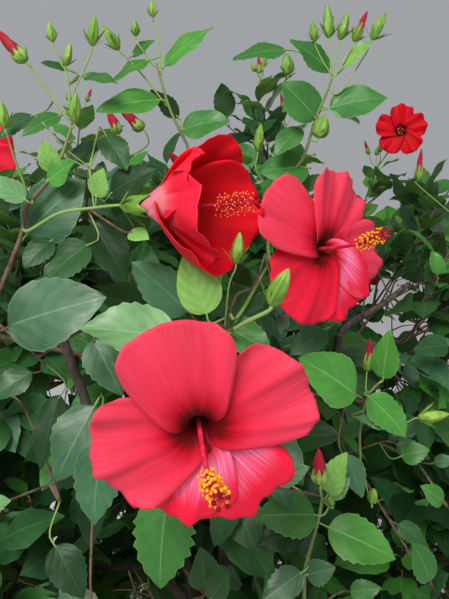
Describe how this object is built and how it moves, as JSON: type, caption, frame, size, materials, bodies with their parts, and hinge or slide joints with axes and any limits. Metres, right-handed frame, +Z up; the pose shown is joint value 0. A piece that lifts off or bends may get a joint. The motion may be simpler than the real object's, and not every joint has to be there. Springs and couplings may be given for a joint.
{
  "type": "hibiscus shrub",
  "caption": "Rounded garden hibiscus shrub in flower, on a short flared stem, with low boughs, dense toothed foliage, budded shoots above and large red blooms on stalks.",
  "frame": {"origin": "middle of the flat cut under the stem, at ground level", "axes": "+Z up, -Y towards the side the main bloom faces, +X to the right of someone who looks along +Y"},
  "size_m": [1.1021, 1.2594, 1.517],
  "materials": {
    "bark": "rough grey-brown bark",
    "foliage": "glossy green leaves",
    "petals": "satin red petals",
    "stalk": "smooth green stalks"
  },
  "bodies": {
    "root": {"bloom_far": "petals", "bloom_front": "petals", "bloom_left": "petals", "bloom_right": "petals", "bloom_top": "petals", "bough_lower_1": "bark", "bough_lower_2": "bark", "bough_lower_3": "bark", "bough_lower_4": "bark", "bough_lower_5": "bark", "bough_lower_6": "bark", "bough_middle_1": "bark", "bough_middle_2": "bark", "bough_middle_3": "bark", "bough_middle_4": "bark", "bough_middle_5": "bark", "bough_middle_6": "bark", "bough_top": "bark", "bough_upper_1": "bark", "bough_upper_2": "bark", "bough_upper_3": "bark", "bough_upper_4": "bark", "bough_upper_5": "bark", "foliage_lower_1": "foliage", "foliage_lower_2": "foliage", "foliage_lower_3": "foliage", "foliage_lower_4": "foliage", "foliage_lower_5": "foliage", "foliage_lower_6": "foliage", "foliage_middle_1": "foliage", "foliage_middle_2": "foliage", "foliage_middle_3": "foliage", "foliage_middle_4": "foliage", "foliage_middle_5": "foliage", "foliage_middle_6": "foliage", "foliage_top": "foliage", "foliage_upper_1": "foliage", "foliage_upper_2": "foliage", "foliage_upper_3": "foliage", "foliage_upper_4": "foliage", "foliage_upper_5": "foliage", "shoot_back": "foliage", "shoot_centre": "foliage", "shoot_far_left": "foliage", "shoot_far_right": "foliage", "shoot_front": "foliage", "shoot_left": "foliage", "shoot_middle": "foliage", "shoot_right": "foliage", "shoot_side": "foliage", "stalk_far": "stalk", "stalk_front": "stalk", "stalk_left": "stalk", "stalk_right": "stalk", "stalk_top": "stalk", "stem": "bark"}
  },
  "joints": []
}
